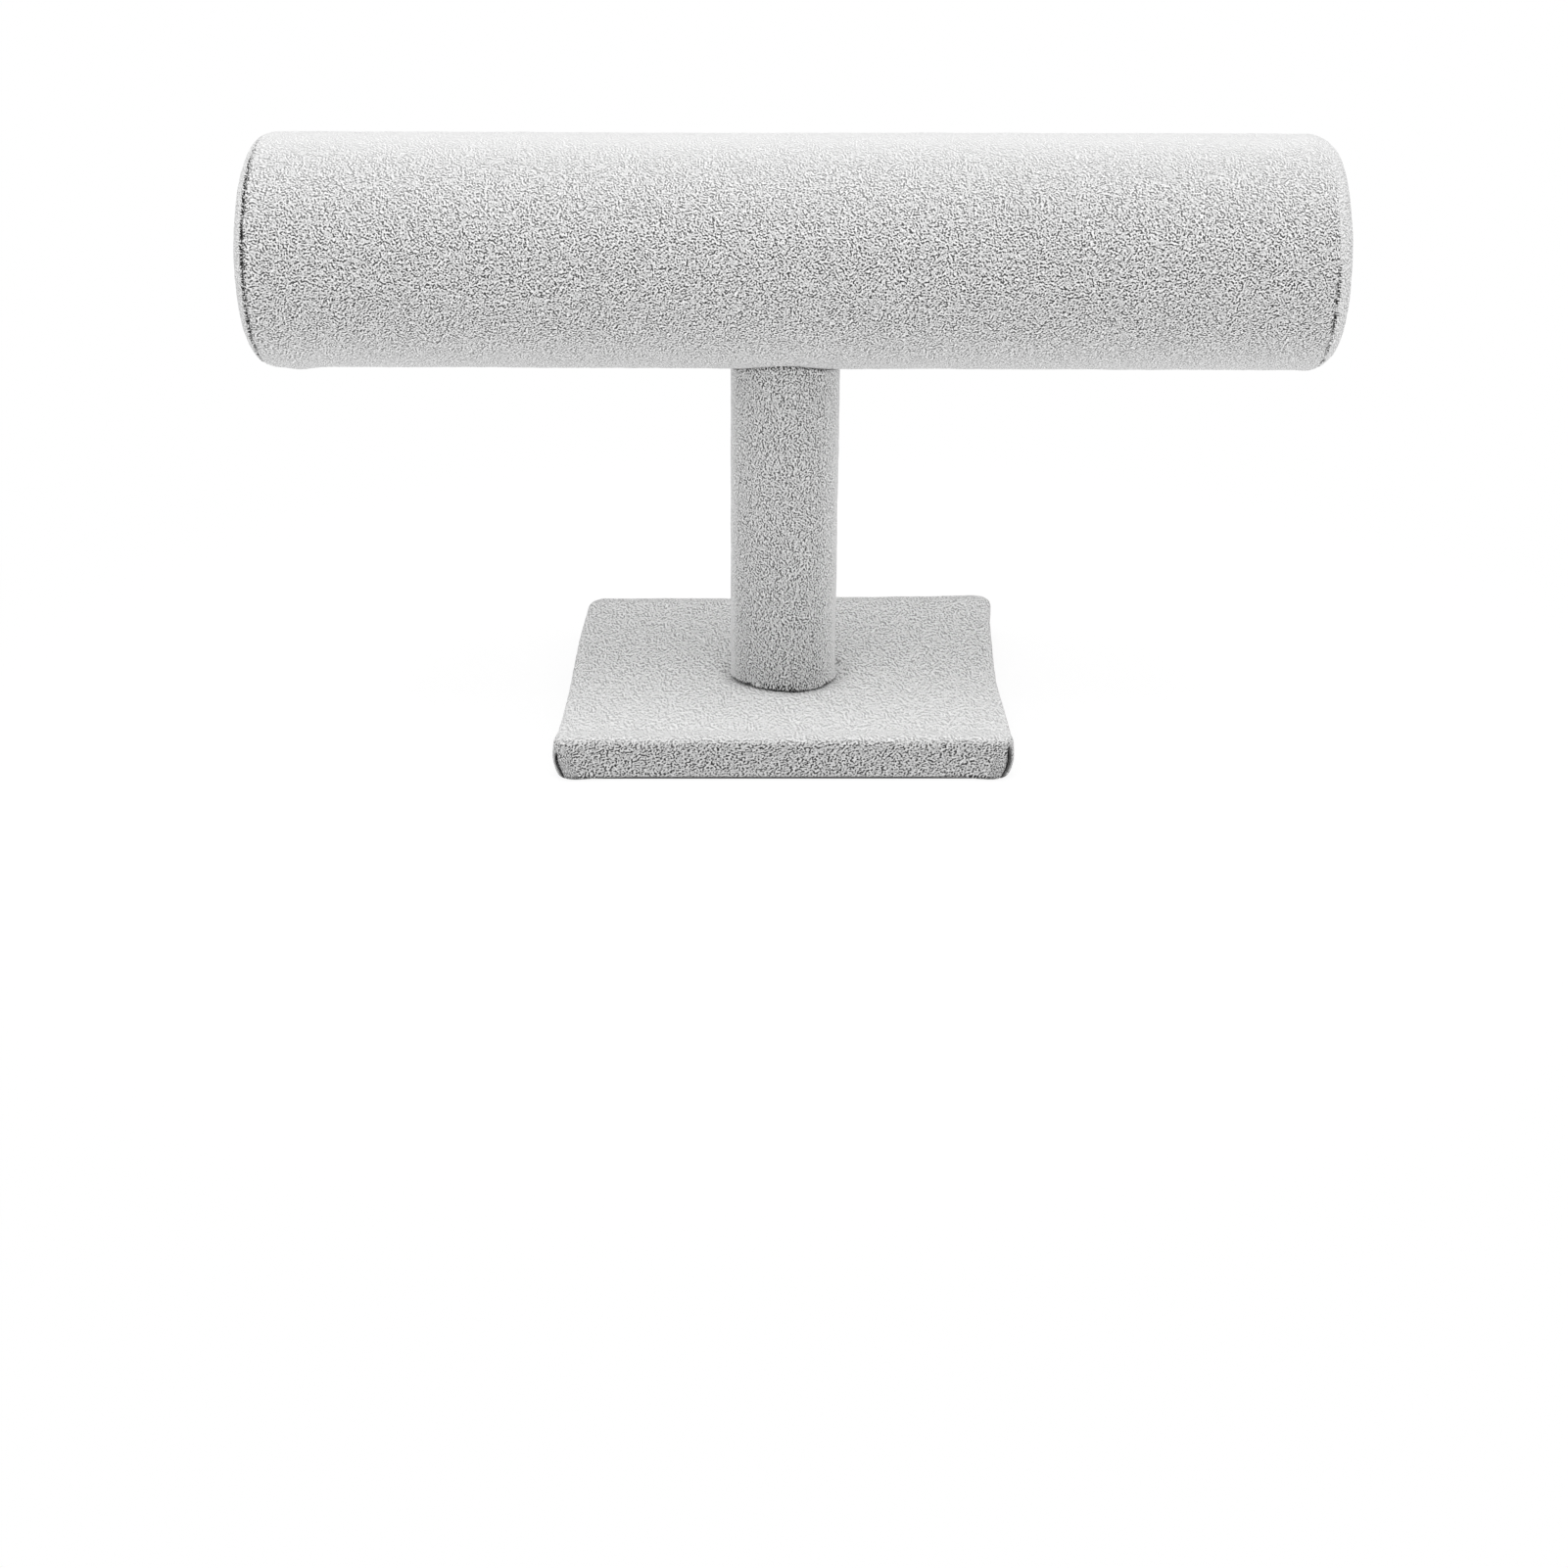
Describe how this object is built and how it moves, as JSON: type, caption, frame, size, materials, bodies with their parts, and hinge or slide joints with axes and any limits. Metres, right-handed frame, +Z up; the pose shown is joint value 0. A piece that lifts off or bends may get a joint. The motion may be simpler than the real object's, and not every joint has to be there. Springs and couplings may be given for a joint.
{
  "type": "bracelet display stand",
  "caption": "T-bar bracelet stand: a round plush-covered bar with covered disc ends, carried by a covered round post on a thin rectangular covered base.",
  "frame": {"origin": "middle of the base's underside, on the surface that the stand rests on", "axes": "+X along the bar to the viewer's right, -Y to the front, +Z up"},
  "size_m": [0.24, 0.09, 0.136],
  "materials": {
    "plush": "short-pile plush in a pale grey, matt with a soft sheen at grazing angles",
    "black_board": "fibreboard painted black",
    "lining": "black embossed lining card",
    "screw_steel": "bright zinc-plated",
    "dowel_wood": "raw pine",
    "kraft_tube": "raw spiral-wound kraft card",
    "grey_board": "raw grey board"
  },
  "bodies": {
    "root": {"base_board": "black_board", "base_cover": "plush", "base_lining": "lining", "base_screw": "screw_steel", "post_dowel": "dowel_wood", "post_cover": "plush", "bar_tube": "kraft_tube", "bar_cover": "plush", "end_disc_left": "grey_board", "end_disc_right": "grey_board", "end_cover_left": "plush", "end_cover_right": "plush"}
  },
  "joints": []
}
